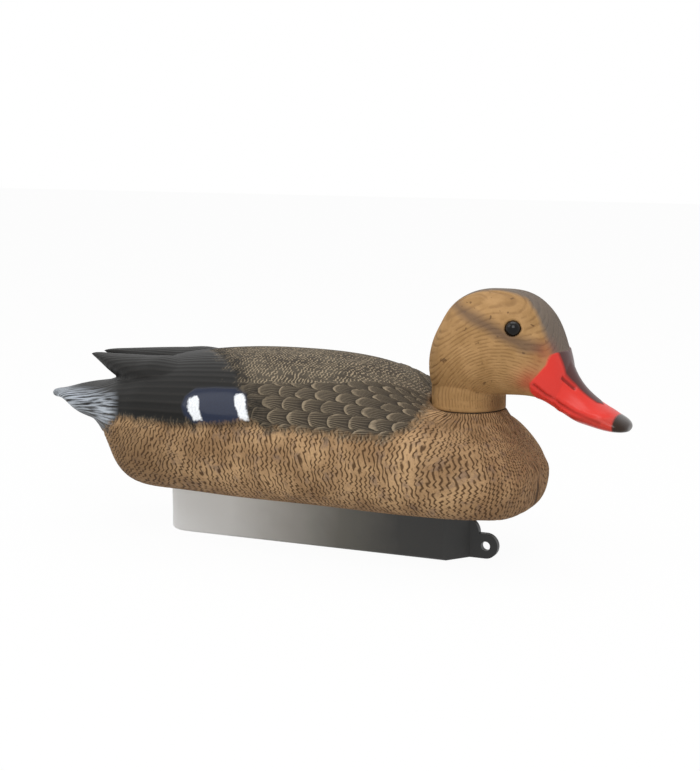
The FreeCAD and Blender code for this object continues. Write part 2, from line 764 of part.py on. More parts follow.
# ---------------------------------------------------------------- check and write
PIECES = [
    float_body,
    head_shell,
    eyes[0],
    eyes[1],
    neck_socket,
    neck_plug,
    neck_seal_ring,
    keel_shell,
    keel_filler_plug,
    keel_ballast,
    keel_screws,
]

doc.recompute()
for thing in doc.Objects:
    if "Invalid" in thing.State or "Error" in thing.State:
        raise RuntimeError("%s did not build: %s" % (thing.Label, thing.State))
for piece in PIECES:
    if piece.Shape.isNull() or not piece.Shape.isValid():
        raise RuntimeError("%s has no valid shape" % piece.Label)
    print(
        "%-18s %d solid(s) %9.0f mm3"
        % (piece.Label, len(piece.Shape.Solids), piece.Shape.Volume)
    )
for piece in PIECES:
    piece.Shape.exportStep("parts/%s.step" % piece.Label)
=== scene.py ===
import bpy
import bmesh
import numpy as np
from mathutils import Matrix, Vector


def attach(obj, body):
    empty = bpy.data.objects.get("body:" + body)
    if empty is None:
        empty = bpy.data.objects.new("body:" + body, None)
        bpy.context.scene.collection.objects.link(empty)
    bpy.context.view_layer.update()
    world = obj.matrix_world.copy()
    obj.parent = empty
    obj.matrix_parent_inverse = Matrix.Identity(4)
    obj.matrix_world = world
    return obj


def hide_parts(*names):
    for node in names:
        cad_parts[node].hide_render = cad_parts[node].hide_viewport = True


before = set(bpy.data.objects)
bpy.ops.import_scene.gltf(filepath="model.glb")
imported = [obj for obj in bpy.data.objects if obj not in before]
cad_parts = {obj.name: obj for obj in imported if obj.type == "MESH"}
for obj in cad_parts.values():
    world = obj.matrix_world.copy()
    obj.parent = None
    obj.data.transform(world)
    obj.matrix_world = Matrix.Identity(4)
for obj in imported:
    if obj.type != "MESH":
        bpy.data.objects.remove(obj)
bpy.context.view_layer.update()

# ---------------------------------------------------------------- view, floor and light
# A small table set-up: long lens a little above the water line, pale sweep below,
# three soft boxes, at the breast, at the tail and overhead, and an even room.
scene = bpy.context.scene
scene.view_settings.view_transform = "Standard"

lens = bpy.data.cameras.new("view")
lens.lens, lens.sensor_width = 79.63, 36.0
lens.clip_start, lens.clip_end = 0.05, 30.0
camera = bpy.data.objects.new("view", lens)
scene.collection.objects.link(camera)
camera.location = (0.4616, -0.9917, 0.2820)
aim = Vector((0.02006, 0.0, 0.10424))
camera.rotation_euler = (aim - camera.location).to_track_quat("-Z", "Y").to_euler()
scene.camera = camera


def linear(code):
    """An sRGB hex colour as the linear colour that the shaders use."""
    parts = [int(code[i:i + 2], 16) / 255 for i in (1, 3, 5)]
    return tuple(c / 12.92 if c <= 0.04045 else ((c + 0.055) / 1.055) ** 2.4 for c in parts) + (1.0,)


def add(tree, kind, *values, out=0, named=None, **settings):
    """Adds a node with its settings, fills or links its sockets, and gives back one output."""
    made = tree.nodes.new(kind)
    for key, value in settings.items():
        setattr(made, key, value)
    pairs = list(enumerate(values)) + list((named or {}).items())
    for key, value in pairs:
        if value is None:
            continue
        socket = made.inputs[key]
        if isinstance(value, bpy.types.NodeSocket):
            tree.links.new(value, socket)
        else:
            socket.default_value = value
    return made.outputs[out] if len(made.outputs) else made


def material(name):
    """An empty node material and its tree."""
    made = bpy.data.materials.new(name)
    made.use_nodes = True
    made.node_tree.nodes.clear()
    return made, made.node_tree


for name, place, size, power in (
    ("soft_box_front", (0.55, -1.00, 1.15), 0.9, 11.5),
    ("soft_box_rear", (-0.75, -0.55, 1.05), 0.8, 4.2),
    ("soft_box_top", (0.0, 0.35, 1.35), 1.0, 5.0),
):
    lamp = bpy.data.lights.new(name, "AREA")
    lamp.shape, lamp.size, lamp.energy = "SQUARE", size, power
    holder = bpy.data.objects.new(name, lamp)
    scene.collection.objects.link(holder)
    holder.location = place
    holder.rotation_euler = (Vector((0.0, 0.0, 0.08)) - Vector(place)).to_track_quat("-Z", "Y").to_euler()

room = bpy.data.worlds.new("room")
scene.world = room
room.use_nodes = True
tree = room.node_tree
tree.nodes.clear()
path = tree.nodes.new("ShaderNodeLightPath")
seen = add(tree, "ShaderNodeMath", path.outputs["Is Camera Ray"], path.outputs["Is Glossy Ray"],
           operation="MAXIMUM")
seen = add(tree, "ShaderNodeMath", seen, path.outputs["Is Transmission Ray"], operation="MAXIMUM")
level = add(tree, "ShaderNodeMapRange", seen, 0.0, 1.0, 0.42, 1.0)
sky = add(tree, "ShaderNodeBackground", linear("#ffffff"), level)
add(tree, "ShaderNodeOutputWorld", sky)

sweep_mesh = bpy.data.meshes.new("sweep")
sweep_mesh.from_pydata([(-4, -4, -0.0004), (4, -4, -0.0004), (4, 4, -0.0004), (-4, 4, -0.0004)], [],
                       [(0, 1, 2, 3)])
sweep = bpy.data.objects.new("sweep", sweep_mesh)
scene.collection.objects.link(sweep)
paper, tree = material("white_card_matt")
path = tree.nodes.new("ShaderNodeLightPath")
seen = add(tree, "ShaderNodeMath", path.outputs["Is Camera Ray"], path.outputs["Is Glossy Ray"],
           operation="MAXIMUM")
seen = add(tree, "ShaderNodeMath", seen, path.outputs["Is Transmission Ray"], operation="MAXIMUM")
card = add(tree, "ShaderNodeBsdfDiffuse", linear("#f4f4f2"))
glow = add(tree, "ShaderNodeEmission", linear("#ffffff"), 1.0)
glow_share = add(tree, "ShaderNodeMath", seen, 0.96, operation="MULTIPLY")
add(tree, "ShaderNodeOutputMaterial", add(tree, "ShaderNodeMixShader", glow_share, card, glow))
sweep_mesh.materials.append(paper)

# ---------------------------------------------------------------- float
# The float is one blow-moulded polyethylene shell, with the feathers cut into the
# mould, so that grooves, wing edges and quills are part of its wall. It is sprayed
# matt in tan and dark olive, with a glossy wing patch brushed on by hand.
NECK_X = 101.5
FLOAT_VOXEL = 1.34
SMOOTHING_ROUNDS = 10
NECK_STOP = (22.4, 70.0, 95.4)  # radius, low and high: closes the open neck
WELL_RADIUS, WELL_FLOOR, WELL_TOP = 21.65, 72.0, 99.0  # room for the neck socket


def drum(radius, low, high, centre, name="drum", sides=96):
    """A closed upright cylinder in millimetres, as an object that is used as a tool."""
    mesh = bpy.data.meshes.new(name)
    shape = bmesh.new()
    bmesh.ops.create_cone(shape, cap_ends=True, segments=sides, radius1=radius / 1000,
                          radius2=radius / 1000, depth=(high - low) / 1000)
    bmesh.ops.translate(shape, verts=shape.verts, vec=(centre / 1000, 0, (low + high) / 2000))
    shape.to_mesh(mesh)
    shape.free()
    made = bpy.data.objects.new(name, mesh)
    scene.collection.objects.link(made)
    return made


def finished(source, name):
    """The object with its modifiers made real, as a new plain object; the source goes."""
    view = bpy.context.evaluated_depsgraph_get()
    mesh = bpy.data.meshes.new_from_object(source.evaluated_get(view))
    mesh.name = name
    made = bpy.data.objects.new(name, mesh)
    scene.collection.objects.link(made)
    bpy.data.objects.remove(source)
    return made


def skin_of(node, voxel, filler, rounds, name):
    """A CAD shell as an even mesh that carries fine relief. Loose inner parts go, but a wall that
    is still joined to the outside stays, as on the float."""
    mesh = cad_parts[node].data.copy()
    shape = bmesh.new()
    shape.from_mesh(mesh)
    bmesh.ops.remove_doubles(shape, verts=shape.verts, dist=2e-6)
    shape.from_mesh(filler.data)
    shape.to_mesh(mesh)
    shape.free()
    mesh.materials.clear()
    bpy.data.objects.remove(filler)
    raw = bpy.data.objects.new(name, mesh)
    scene.collection.objects.link(raw)
    remesh = raw.modifiers.new("remesh", "REMESH")
    remesh.mode, remesh.voxel_size = "VOXEL", voxel / 1000
    raw = finished(raw, name)
    mesh = raw.data
    co = np.empty(len(mesh.vertices) * 3, "f4")
    mesh.vertices.foreach_get("co", co)
    co = co.reshape(-1, 3).astype("f8")
    edge = np.empty(len(mesh.edges) * 2, "i4")
    mesh.edges.foreach_get("vertices", edge)
    edge = edge.reshape(-1, 2)
    label = np.arange(len(co))
    while True:
        low = np.minimum(label[edge[:, 0]], label[edge[:, 1]])
        new = label.copy()
        np.minimum.at(new, edge[:, 0], low)
        np.minimum.at(new, edge[:, 1], low)
        new = new[new]
        if (new == label).all():
            break
        label = new
    outer = label == label[np.argmax(co[:, 0])]
    faces = [tuple(f.vertices) for f in mesh.polygons]
    renumber = np.cumsum(outer) - 1
    kept = [tuple(int(renumber[i]) for i in f) for f in faces if outer[f[0]]]
    clean = bpy.data.meshes.new(name)
    clean.from_pydata(co[outer].tolist(), [], kept)
    bpy.data.objects.remove(raw)
    made = bpy.data.objects.new(name, clean)
    scene.collection.objects.link(made)
    co = co[outer]
    edge = np.empty(len(clean.edges) * 2, "i4")
    clean.edges.foreach_get("vertices", edge)
    edge = edge.reshape(-1, 2)
    count = np.bincount(edge.ravel(), minlength=len(co))[:, None]
    for step in range(rounds):
        share = 0.55 if step % 2 == 0 else -0.57
        total = np.zeros_like(co)
        for axis in range(3):
            total[:, axis] = (np.bincount(edge[:, 0], co[edge[:, 1], axis], len(co))
                              + np.bincount(edge[:, 1], co[edge[:, 0], axis], len(co)))
        co += share * (total / count - co)
    clean.vertices.foreach_set("co", co.astype("f4").ravel())
    clean.update()
    return made


def within(px, pz, corners):
    """Signed distance in mm to a closed outline in the side view, positive inside."""
    best = np.full(px.shape, 1e9)
    inside = np.zeros(px.shape, bool)
    for (x0, z0), (x1, z1) in zip(corners, corners[1:] + corners[:1]):
        dx, dz = x1 - x0, z1 - z0
        along = np.clip(((px - x0) * dx + (pz - z0) * dz) / (dx * dx + dz * dz), 0, 1)
        best = np.minimum(best, np.hypot(px - x0 - along * dx, pz - z0 - along * dz))
        if z0 != z1:
            inside ^= ((z0 > pz) != (z1 > pz)) & (px < dx * (pz - z0) / dz + x0)
    return np.where(inside, best, -best)


def near(points, line):
    """Distance in mm from each point to an open line of places in space."""
    best = np.full(len(points), 1e9)
    for a, b in zip(np.array(line[:-1], "f8"), np.array(line[1:], "f8")):
        run = b - a
        along = np.clip((points - a) @ run / (run @ run), 0, 1)[:, None]
        best = np.minimum(best, np.linalg.norm(points - a - along * run, axis=1))
    return best


def ease(value, low, high):
    """Smooth step from 0 at low to 1 at high."""
    t = np.clip((value - low) / (high - low), 0, 1)
    return t * t * (3 - 2 * t)


def lanes_on(mesh, table):
    """Writes one number per point for each named lane, for the relief and the paint."""
    for name, values in table.items():
        lane = mesh.attributes.new(name, "FLOAT", "POINT")
        lane.data.foreach_set("value", np.asarray(values, "f4"))


float_skin = skin_of("float_body", FLOAT_VOXEL, drum(*NECK_STOP, NECK_X), SMOOTHING_ROUNDS, "float_skin")
mesh = float_skin.data
co = np.empty(len(mesh.vertices) * 3, "f4")
mesh.vertices.foreach_get("co", co)
co = co.reshape(-1, 3).astype("f8") * 1000
px, side, pz = co[:, 0], np.abs(co[:, 1]), co[:, 2]
even = np.stack([px, side, pz], 1)
reach = np.hypot(px - NECK_X, co[:, 1])

# lane edges, in millimetres from the middle of the float
dark = within(px, pz, [
    (-230, 55), (-150, 66), (-137, 71), (-117, 84), (-105, 84.5), (-88, 84), (-71, 84), (-56, 85),
    (-37, 88), (-14, 90), (1, 88), (21, 88.5), (40, 88), (59, 86.5), (73, 86.6), (81, 89.5),
    (84, 93.5), (82, 98), (80, 104), (76, 140), (-230, 140)])
dark = np.minimum(dark, reach - 25)
border = np.where(pz > 103, np.interp(side, [0, 30, 47, 59, 66, 68], [-83, -55, -39, -29, -25, -18]),
                  -18 + (103 - pz) * 0.42)
black = np.minimum((border - px) * 0.8, dark)
patch = within(px, pz, [(-63, 101), (-58, 105.5), (-44, 107), (-30, 107.5), (-21, 105), (-17, 99),
                        (-14.6, 92),
                        (-32, 88.5), (-51, 87), (-60, 91), (-63.5, 96)])
rear_bar = within(px, pz, [(-60.5, 100.5), (-54.0, 102), (-49.5, 96), (-45.6, 89.2), (-51.6, 88.6),
                           (-57, 93)])
front_bar = within(px, pz, [(-28.4, 104.6), (-21.8, 104.4), (-17, 98), (-12.4, 91.6), (-19.8, 90.8),
                            (-24.5, 98)])
bars = np.maximum(rear_bar, front_bar)
covert = np.minimum((side - np.interp(px, [-19, 10, 34, 48, 62, 71], [58, 54, 45, 31, 16, 6])) * 0.85,
                    dark)
covert = np.minimum(covert, (px - border) * 0.8)
tail = ease(-px, 108, 124) * ease(dark, -6, 2)
rim = near(even, [(-205, 4, 87), (-196, 12, 87), (-182, 23, 87), (-154, 37, 85), (-128, 52, 85)])
ridge = near(even, [(13, 78, 71), (24, 76, 77), (37, 70, 85)])
ridge = np.minimum(ridge, near(even, [(26, 78, 55), (42, 74, 64), (59, 69, 72)]))
ridge = np.minimum(ridge, near(even, [(-18, 78, 60), (-4, 78, 65)]))
turn = np.arctan2(px - 95, side + 1e-6)
along = np.where(px > 95, 55 * turn, px - 95)
around = 65 * np.arctan2(side, pz - 75)
rump = ease(-px, 20, 120) * ease(-dark, 0, 8)
swing = along + 0.75 * ease(-px, 20, 120) * (around - 100)
collar = ease(-dark, -3, 3) * ease(-reach, -47, -30) * ease(pz, 80, 88)

relief = 1.1 * ease(dark, -0.9, 0.9) * ease(reach, 30, 50) * ease(px, -118, -100)
relief += 0.85 * np.exp(-(ridge / 1.3) ** 2)
relief += 0.45 * ease(patch, -0.6, 0.6)
relief -= 0.7 * np.exp(-((np.abs(dark) - 1.2) / 0.9) ** 2) * (dark < 0) * ease(reach, 30, 46)
relief -= 0.4 * np.exp(-(co[:, 1] / 0.9) ** 2) * ease(px, 118, 128) * ease(pz, 56, 64)
edge_fade = ease(reach, 23.6, 26)
lanes_on(mesh, {"along": along, "swing": swing, "around": around, "dark": dark, "black": black,
                "patch": patch, "bars": bars,
                "covert": covert, "tail": tail, "rim": rim, "rump": rump, "collar": collar,
                "sweep": np.arctan2(co[:, 1], px - NECK_X) * 36, "climb": pz, "relief": relief,
                "fade": edge_fade})

FLOAT_LANES = ("along", "swing", "around", "dark", "black", "patch", "bars", "covert", "tail", "rim",
               "rump",
               "collar", "sweep", "climb", "relief", "fade")


def ripple(tree, across, down, pitch, wave, gap):
    """Short wavy grooves: lines of one pitch that wander, zigzag and break off."""
    spot = add(tree, "ShaderNodeCombineXYZ", across, down)
    wander = add(tree, "ShaderNodeTexNoise", named={"Vector": spot, "Scale": 0.055, "Detail": 2.0},
                 noise_dimensions="2D")
    turns = add(tree, "ShaderNodeMath", down, 1.0 / wave, 0.0, operation="MULTIPLY")
    turns = add(tree, "ShaderNodeMath", wander, 4.6, turns, operation="MULTIPLY_ADD")
    bend = add(tree, "ShaderNodeMath", add(tree, "ShaderNodeMath", turns, 6.2832, operation="MULTIPLY"),
               operation="SINE")
    phase = add(tree, "ShaderNodeMath", across, 1.0 / pitch, operation="MULTIPLY")
    phase = add(tree, "ShaderNodeMath", wander, 2.2, phase, operation="MULTIPLY_ADD")
    phase = add(tree, "ShaderNodeMath", bend, 0.18, phase, operation="MULTIPLY_ADD")
    crest = add(tree, "ShaderNodeMath", add(tree, "ShaderNodeMath", phase, 6.2832, operation="MULTIPLY"),
                operation="SINE")
    breaks = add(tree, "ShaderNodeTexNoise", named={"Vector": spot, "Scale": 0.24, "Detail": 3.0},
                 noise_dimensions="2D")
    open_part = add(tree, "ShaderNodeMapRange", breaks, gap, gap + 0.10, 0.0, 1.0)
    groove = add(tree, "ShaderNodeMapRange", crest, 0.0, 0.85, 0.0, 1.0)
    return add(tree, "ShaderNodeMath", groove, open_part, operation="MULTIPLY")


def feathers(tree, lane):
    """All moulded feather marks of the float, the same for its relief and for its paint."""
    flank = ripple(tree, lane["swing"], lane["around"], 2.9, 3.9, 0.36)
    ring = ripple(tree, lane["sweep"], lane["climb"], 2.5, 5.0, 0.32)
    flank = add(tree, "ShaderNodeMix", lane["collar"], named={2: flank, 3: ring}, data_type="FLOAT")
    back = ripple(tree, lane["along"], lane["around"], 2.3, 3.4, 0.40)
    row = add(tree, "ShaderNodeMath", lane["around"], 1 / 7.4, operation="MULTIPLY")
    lift = add(tree, "ShaderNodeMath", row, operation="FLOOR")
    odd = add(tree, "ShaderNodeMath", lift, 2.0, operation="FLOORED_MODULO")
    part = add(tree, "ShaderNodeMath", row, operation="FRACT")
    part = add(tree, "ShaderNodeMath", part, 2.0, -1.0, operation="MULTIPLY_ADD")
    square = add(tree, "ShaderNodeMath", part, part, operation="MULTIPLY")
    bow = add(tree, "ShaderNodeMath", add(tree, "ShaderNodeMath", 1.0, square, operation="SUBTRACT"),
              operation="SQRT")
    step = add(tree, "ShaderNodeMath", lane["along"], -1 / 12.5, operation="MULTIPLY")
    step = add(tree, "ShaderNodeMath", odd, 0.5, step, operation="MULTIPLY_ADD")
    spot = add(tree, "ShaderNodeCombineXYZ", lane["along"], lane["around"])
    uneven = add(tree, "ShaderNodeTexNoise", named={"Vector": spot, "Scale": 0.09, "Detail": 1.0},
                 noise_dimensions="2D")
    step = add(tree, "ShaderNodeMath", uneven, 0.5, step, operation="MULTIPLY_ADD")
    step = add(tree, "ShaderNodeMath", bow, -0.42, step, operation="MULTIPLY_ADD")
    tip = add(tree, "ShaderNodeMath", step, operation="FRACT")
    barbs = add(tree, "ShaderNodeMath", part, add(tree, "ShaderNodeMath", tip, 0.5, operation="ADD"),
                operation="MULTIPLY")
    barbs = add(tree, "ShaderNodeMath", add(tree, "ShaderNodeMath", barbs, 19.0, operation="MULTIPLY"),
                operation="SINE")
    on_covert = add(tree, "ShaderNodeMapRange", lane["covert"], -0.8, 0.8, 0.0, 1.0)
    on_dark = add(tree, "ShaderNodeMapRange", lane["dark"], -0.7, 0.7, 0.0, 1.0)
    on_black = add(tree, "ShaderNodeMapRange", lane["black"], -1.5, 1.5, 0.0, 1.0)
    return {"flank": flank, "back": back, "tip": tip, "barbs": barbs, "on_covert": on_covert,
            "on_dark": on_dark, "on_black": on_black, "spot": spot}


# The relief: grooves 0.38 mm deep, scales rising 0.75 mm to their tips.
relief_tree = bpy.data.node_groups.new("float_relief", "GeometryNodeTree")
relief_tree.interface.new_socket("Geometry", in_out="INPUT", socket_type="NodeSocketGeometry")
for label, size in (("Groove depth", 0.38), ("Scale height", 0.75), ("Unit", 0.001)):
    knob = relief_tree.interface.new_socket(label, in_out="INPUT", socket_type="NodeSocketFloat")
    knob.default_value = size
relief_tree.interface.new_socket("Geometry", in_out="OUTPUT", socket_type="NodeSocketGeometry")
tree = relief_tree
entry = tree.nodes.new("NodeGroupInput")
lane = {n: add(tree, "GeometryNodeInputNamedAttribute", named={"Name": n},
               data_type="FLOAT") for n in FLOAT_LANES}
marks = feathers(tree, lane)
groove = add(tree, "ShaderNodeMix", marks["on_dark"], named={2: marks["flank"], 3: marks["back"]},
             data_type="FLOAT")
calm = add(tree, "ShaderNodeMath", add(tree, "ShaderNodeMath", 1.0, marks["on_black"],
                                       operation="SUBTRACT"),
           add(tree, "ShaderNodeMath", 1.0, marks["on_covert"], operation="SUBTRACT"),
           operation="MULTIPLY")
groove = add(tree, "ShaderNodeMath", add(tree, "ShaderNodeMath", groove, calm, operation="MULTIPLY"),
             entry.outputs["Groove depth"], operation="MULTIPLY")
scale = add(tree, "ShaderNodeMath", add(tree, "ShaderNodeMath", marks["tip"], marks["on_covert"],
                                        operation="MULTIPLY"), entry.outputs["Scale height"],
            operation="MULTIPLY")
height = add(tree, "ShaderNodeMath", scale, groove, operation="SUBTRACT")
height = add(tree, "ShaderNodeMath", height, lane["relief"], operation="ADD")
height = add(tree, "ShaderNodeMath", height, lane["fade"], operation="MULTIPLY")
height = add(tree, "ShaderNodeMath", height, entry.outputs["Unit"], operation="MULTIPLY")
away = add(tree, "ShaderNodeVectorMath", add(tree, "GeometryNodeInputNormal"), named={"Scale": height},
           operation="SCALE")
moved = add(tree, "GeometryNodeSetPosition", entry.outputs["Geometry"], named={"Offset": away})

body_paint, paint_tree = material("float_matt_spray")
solid = add(tree, "GeometryNodeRealizeInstances", moved)
solid = add(tree, "GeometryNodeSetMaterial", solid, named={"Material": body_paint})
add(tree, "NodeGroupOutput", solid)

shaper = float_skin.modifiers.new("relief", "NODES")
shaper.node_group = relief_tree
float_skin = finished(float_skin, "float_skin")
well = drum(WELL_RADIUS, WELL_FLOOR, WELL_TOP, NECK_X, "well")
cut = float_skin.modifiers.new("well", "BOOLEAN")
cut.operation, cut.solver, cut.object = "DIFFERENCE", "MANIFOLD", well
float_skin = finished(float_skin, "float_skin")
bpy.data.objects.remove(well)
float_skin.data.materials.clear()
float_skin.data.materials.append(body_paint)
for face in float_skin.data.polygons:
    face.use_smooth = True
    face.material_index = 0

# Matt spray paint over polyethylene: it takes almost no shine, dark paint is wiped
# into the grooves, and the wing patch and its bars are brushed gloss enamel.
tree = paint_tree
lane = {n: add(tree, "ShaderNodeAttribute", attribute_name=n, out="Fac") for n in FLOAT_LANES}
marks = feathers(tree, lane)
blotch = add(tree, "ShaderNodeTexNoise", named={"Vector": marks["spot"], "Scale": 0.045, "Detail": 4.0},
             noise_dimensions="2D")
mist = add(tree, "ShaderNodeTexNoise", named={"Vector": marks["spot"], "Scale": 0.11, "Detail": 5.0,
                                              "Roughness": 0.65}, noise_dimensions="2D")
grit = add(tree, "ShaderNodeTexNoise", named={"Vector": marks["spot"], "Scale": 0.9, "Detail": 2.0},
           noise_dimensions="2D")
tan = add(tree, "ShaderNodeMix", add(tree, "ShaderNodeMapRange", blotch, 0.35, 0.65),
          named={6: linear("#977755"), 7: linear("#bd9a72")}, data_type="RGBA", out=2)
bruise = add(tree, "ShaderNodeMapRange", mist, 0.54, 0.70, 0.0, 0.55)
tan = add(tree, "ShaderNodeMix", bruise, named={6: tan, 7: linear("#6f5f58")}, data_type="RGBA", out=2)
breast = add(tree, "ShaderNodeMapRange", lane["along"], 10.0, 70.0, 0.0, 0.45)
tan = add(tree, "ShaderNodeMix", breast, named={6: tan, 7: linear("#8e6a4a")}, data_type="RGBA", out=2)
# Painted shade: the flank is painted darker towards the belly, where it turns under, away from the light.
low = add(tree, "ShaderNodeMapRange", lane["climb"], 52.0, 32.0, 0.0, 0.55)
tan = add(tree, "ShaderNodeMix", low, named={6: tan, 7: linear("#765a40")}, data_type="RGBA", out=2)
tan = add(tree, "ShaderNodeMix", add(tree, "ShaderNodeMath", lane["rump"], 0.55, operation="MULTIPLY"),
          named={6: tan, 7: linear("#73583c")}, data_type="RGBA", out=2)
tan = add(tree, "ShaderNodeMix", add(tree, "ShaderNodeMath", marks["flank"], 0.86, operation="MULTIPLY"),
          named={6: tan, 7: linear("#402b19")}, data_type="RGBA", out=2)

olive = add(tree, "ShaderNodeMix", add(tree, "ShaderNodeMapRange", blotch, 0.35, 0.65),
            named={6: linear("#403930"), 7: linear("#585044")}, data_type="RGBA", out=2)
back = add(tree, "ShaderNodeMix", add(tree, "ShaderNodeMath", marks["back"], 0.85, operation="MULTIPLY"),
           named={6: olive, 7: linear("#ab9a80")}, data_type="RGBA", out=2)
lip = add(tree, "ShaderNodeMapRange", marks["tip"], 0.80, 0.93, 0.0, 0.85)
lip = add(tree, "ShaderNodeMath", lip, add(tree, "ShaderNodeMapRange", mist, 0.38, 0.56, 0.25, 1.0),
          operation="MULTIPLY")
fan = add(tree, "ShaderNodeMapRange", marks["tip"], 0.15, 0.75, 0.25, 1.0)
quill = add(tree, "ShaderNodeMapRange", marks["barbs"], 0.2, 0.9, 0.0, 0.62)
quill = add(tree, "ShaderNodeMath", quill, fan, operation="MULTIPLY")
scale = add(tree, "ShaderNodeMix", quill, named={6: linear("#3f382f"), 7: linear("#9c8d76")},
            data_type="RGBA", out=2)
scale = add(tree, "ShaderNodeMix", lip, named={6: scale, 7: linear("#a09078")}, data_type="RGBA", out=2)
seam = add(tree, "ShaderNodeMapRange", marks["tip"], 0.0, 0.16, 0.9, 0.0)
scale = add(tree, "ShaderNodeMix", seam, named={6: scale, 7: linear("#2f2a24")}, data_type="RGBA", out=2)
upper = add(tree, "ShaderNodeMix", marks["on_covert"], named={6: back, 7: scale}, data_type="RGBA", out=2)

fine = add(tree, "ShaderNodeMath", add(tree, "ShaderNodeMath", lane["around"], 1.25,
                                       operation="MULTIPLY"),
           operation="SINE")
sooty = add(tree, "ShaderNodeMix", add(tree, "ShaderNodeMapRange", fine, 0.2, 1.0, 0.0, 0.5),
            named={6: linear("#141413"), 7: linear("#292725")}, data_type="RGBA", out=2)
soot_edge = add(tree, "ShaderNodeMath", add(tree, "ShaderNodeMath", mist, 34.0, -17.0,
                                            operation="MULTIPLY_ADD"),
                lane["black"], operation="ADD")
soot = add(tree, "ShaderNodeMapRange", soot_edge, -13.0, 5.0)
upper = add(tree, "ShaderNodeMix", soot, named={6: upper, 7: sooty}, data_type="RGBA", out=2)
on_patch = add(tree, "ShaderNodeMapRange", lane["patch"], -1.2, 0.9)
upper = add(tree, "ShaderNodeMix", on_patch, named={6: upper, 7: linear("#262d40")}, data_type="RGBA",
            out=2)
ragged = add(tree, "ShaderNodeMath", add(tree, "ShaderNodeMath", mist, 5.0, -2.5,
                                         operation="MULTIPLY_ADD"),
             lane["bars"], operation="ADD")
on_bars = add(tree, "ShaderNodeMapRange", ragged, -0.6, 0.5)
upper = add(tree, "ShaderNodeMix", on_bars, named={6: upper, 7: linear("#eef1f5")}, data_type="RGBA",
            out=2)

# Painted highlight: bluish-white streaks along the lower edge of the tail stand in for light caught
# there.
streak_spot = add(tree, "ShaderNodeCombineXYZ", add(tree, "ShaderNodeMath", lane["along"], 0.05,
                                                    operation="MULTIPLY"),
                  add(tree, "ShaderNodeMath", lane["around"], 0.55, operation="MULTIPLY"))
streaks = add(tree, "ShaderNodeTexNoise", named={"Vector": streak_spot, "Scale": 1.0, "Detail": 3.0},
              noise_dimensions="2D")
reach_in = add(tree, "ShaderNodeMapRange", lane["rim"], 4.0, 15.0, 1.0, 0.0)
tail_painted_highlight = add(tree, "ShaderNodeMath", reach_in, add(tree, "ShaderNodeMapRange", streaks, 0.38, 0.60),
            operation="MULTIPLY")
tail_painted_highlight = add(tree, "ShaderNodeMath", add(tree, "ShaderNodeMath", tail_painted_highlight, 0.8, operation="MULTIPLY"),
            lane["tail"],
            operation="MULTIPLY")
upper = add(tree, "ShaderNodeMix", tail_painted_highlight, named={6: upper, 7: linear("#cdd5df")}, data_type="RGBA", out=2)
spray = add(tree, "ShaderNodeMath", add(tree, "ShaderNodeMath", mist, 12.0, -6.0,
                                        operation="MULTIPLY_ADD"),
            lane["dark"], operation="ADD")
spray = add(tree, "ShaderNodeMapRange", spray, -4.0, 2.0)
coat = add(tree, "ShaderNodeMix", spray, named={6: tan, 7: upper}, data_type="RGBA", out=2)
coat = add(tree, "ShaderNodeMix", add(tree, "ShaderNodeMapRange", grit, 0.40, 0.62, 0.0, 0.14),
           named={6: coat, 7: linear("#201810")}, data_type="RGBA", out=2)
gloss = add(tree, "ShaderNodeMix", marks["on_black"], named={2: 0.74, 3: 0.52}, data_type="FLOAT")
gloss = add(tree, "ShaderNodeMix", on_patch, named={2: gloss, 3: 0.14}, data_type="FLOAT")
groove = add(tree, "ShaderNodeMix", marks["on_dark"], named={2: marks["flank"], 3: marks["back"]},
             data_type="FLOAT")
height = add(tree, "ShaderNodeMath", groove, -0.7,
             add(tree, "ShaderNodeMath", grit, 0.5, operation="MULTIPLY"),
             operation="MULTIPLY_ADD")
height = add(tree, "ShaderNodeMix", marks["on_covert"], named={2: height, 3: add(
    tree, "ShaderNodeMath", marks["barbs"], 0.25, operation="MULTIPLY")}, data_type="FLOAT")
height = add(tree, "ShaderNodeMix", marks["on_black"], named={2: height, 3: add(
    tree, "ShaderNodeMath", fine, 0.22, operation="MULTIPLY")}, data_type="FLOAT")
height = add(tree, "ShaderNodeMix", on_patch, named={2: height, 3: 0.0}, data_type="FLOAT")
bump = add(tree, "ShaderNodeBump", named={"Height": height, "Strength": 0.55, "Distance": 0.0007})
shell = add(tree, "ShaderNodeBsdfPrincipled", named={"Base Color": coat, "Roughness": gloss,
                                                     "Normal": bump,
                                                     "IOR": 1.5, "Specular IOR Level": 0.14})
add(tree, "ShaderNodeOutputMaterial", shell)
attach(float_skin, "float")
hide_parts("float_body")

# ---------------------------------------------------------------- head and bill
# The head is a second blow-moulded shell that turns on the neck swivel. Hair-fine
# grooves sweep round the throat, and the bill is sprayed gloss red with a dark ridge.
HEAD_VOXEL = 0.62
HEAD_STOP = (22.3, 97.2, 106.0)  # radius, low and high: closes the open neck
PLUG_BORE = (21.2, 90.0, 104.5)  # radius, low and high: room for the neck plug
SOCKET_RADIUS, BEAD_RADIUS = 5.04, 4.97
head_skin = skin_of("head_shell", HEAD_VOXEL, drum(*HEAD_STOP, NECK_X), SMOOTHING_ROUNDS, "head_skin")
mesh = head_skin.data
co = np.empty(len(mesh.vertices) * 3, "f4")
mesh.vertices.foreach_get("co", co)
co = co.reshape(-1, 3).astype("f8") * 1000
nor = np.empty(len(mesh.vertices) * 3, "f4")
mesh.vertices.foreach_get("normal", nor)
nor = nor.reshape(-1, 3)
px, side, pz = co[:, 0], np.abs(co[:, 1]), co[:, 2]
even = np.stack([px, side, pz], 1)
EYE = (138.0, 24.6, 150.0)
bill_edge = np.interp(pz, [90, 108, 112, 118, 123, 129, 135, 142],
                      [150, 149, 148, 149, 153.5, 158, 159.5, 170])
bill_edge += 5.0 * (1 - np.clip(side / 20, 0, 1)) * ease(pz, 120, 130)
bill = px - bill_edge
